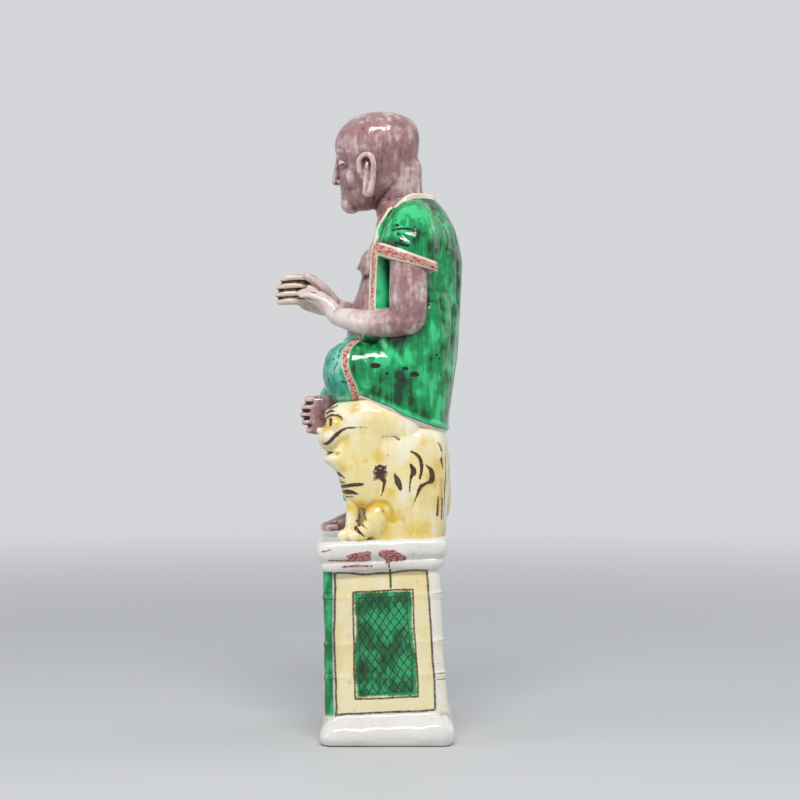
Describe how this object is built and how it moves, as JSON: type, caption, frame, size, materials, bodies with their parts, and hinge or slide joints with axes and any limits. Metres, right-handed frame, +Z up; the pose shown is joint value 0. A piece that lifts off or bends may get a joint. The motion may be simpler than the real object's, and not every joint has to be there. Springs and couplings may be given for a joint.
{
  "type": "arhat statue",
  "caption": "Hollow porcelain figure of a robed arhat with joined hands, seated on a crouching tiger, on a tall square pedestal.",
  "frame": {"origin": "centre of the figure's footprint on the surface that it stands on", "axes": "+Z up, -Y is the way that the figure faces, +X to the figure's left"},
  "size_m": [0.07, 0.0745, 0.2457],
  "materials": {
    "enamelled_biscuit": "gloss"
  },
  "bodies": {
    "root": {"arhat_statue": "enamelled_biscuit"}
  },
  "joints": []
}
